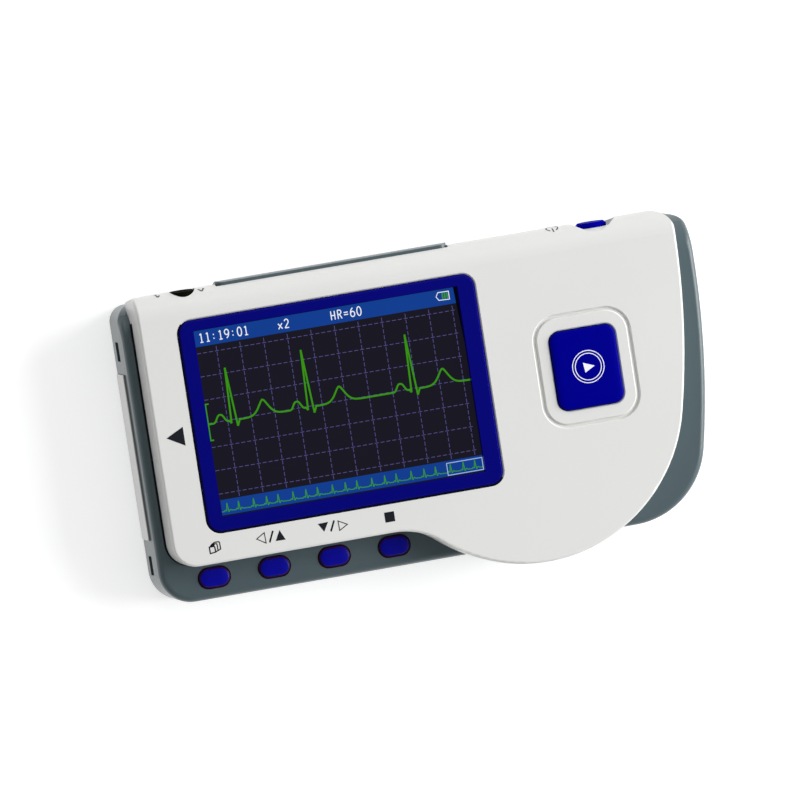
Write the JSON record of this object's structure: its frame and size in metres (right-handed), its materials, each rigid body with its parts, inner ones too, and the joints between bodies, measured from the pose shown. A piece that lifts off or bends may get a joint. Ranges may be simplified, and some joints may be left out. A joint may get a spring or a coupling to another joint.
{
  "type": "handheld ecg monitor",
  "caption": "Handheld heart monitor with a colour display, one large start key, a row of oval keys, metal finger plates and a battery door in the back.",
  "frame": {"origin": "middle of the footprint, on the back face that the monitor lies on", "axes": "+X along the length, from the display towards the start key; +Y towards the top side with the lead socket and power key; +Z out of the display face"},
  "size_m": [0.1252, 0.0698, 0.0207],
  "materials": {
    "grey_plastic": "satin moulded grey plastic with a fine grain",
    "white_plastic": "satin moulded white plastic",
    "blue_trim": "deep blue lacquered plastic",
    "screen_window": "dark polished window with a lit picture behind it",
    "panel_tray": "pressed metal tray",
    "blue_key": "deep blue moulded key, semi gloss",
    "circuit_board": "green solder mask",
    "black_plastic": "black moulded plastic",
    "tinned_steel": "tinned steel can",
    "switch_metal": "pressed metal cover",
    "cell_jacket": "printed metal jacket",
    "spring_steel": "nickel plated spring strip",
    "electrode_steel": "satin stainless steel",
    "screw_steel": "zinc plated steel"
  },
  "bodies": {
    "case": {"rear_shell": "grey_plastic", "mid_frame": "grey_plastic", "front_cover": "white_plastic", "display_bezel": "blue_trim", "display_lens": "screen_window", "lcd_module": "panel_tray", "display_board": "circuit_board", "main_board": "circuit_board", "board_link": "black_plastic", "processor": "black_plastic", "signal_shield": "tinned_steel", "buzzer": "black_plastic", "key_switches": "switch_metal", "start_switch": "switch_metal", "power_switch": "black_plastic", "lead_socket": "black_plastic", "upper_cell": "cell_jacket", "lower_cell": "cell_jacket", "left_battery_contact": "spring_steel", "right_battery_contact": "spring_steel", "left_electrode": "electrode_steel", "right_electrode": "electrode_steel", "back_electrode": "electrode_steel", "electrode_contacts": "spring_steel", "case_screws": "screw_steel", "display_screws": "screw_steel", "board_screws": "screw_steel"},
    "start_button": {"start_button": "blue_key"},
    "power_button": {"power_button": "blue_key"},
    "records_key": {"records_key": "blue_key"},
    "up_key": {"up_key": "blue_key"},
    "down_key": {"down_key": "blue_key"},
    "stop_key": {"stop_key": "blue_key"},
    "battery_door": {"battery_door": "grey_plastic"}
  },
  "joints": [
    {"name": "start_button_press", "type": "slide", "parent": "case", "child": "start_button", "axis": [0, 0, -1], "range_m": [0, 0.0004], "stiffness_N_per_m": 400},
    {"name": "power_button_press", "type": "slide", "parent": "case", "child": "power_button", "axis": [0, -1, 0], "range_m": [0, 0.0004], "stiffness_N_per_m": 400},
    {"name": "records_key_press", "type": "slide", "parent": "case", "child": "records_key", "axis": [0, 0, -1], "range_m": [0, 0.00035], "stiffness_N_per_m": 400},
    {"name": "up_key_press", "type": "slide", "parent": "case", "child": "up_key", "axis": [0, 0, -1], "range_m": [0, 0.00035], "stiffness_N_per_m": 400},
    {"name": "down_key_press", "type": "slide", "parent": "case", "child": "down_key", "axis": [0, 0, -1], "range_m": [0, 0.00035], "stiffness_N_per_m": 400},
    {"name": "stop_key_press", "type": "slide", "parent": "case", "child": "stop_key", "axis": [0, 0, -1], "range_m": [0, 0.00035], "stiffness_N_per_m": 400},
    {"name": "battery_door_slide", "type": "slide", "parent": "case", "child": "battery_door", "axis": [0, 1, 0], "range_m": [0, 0.026]}
  ]
}
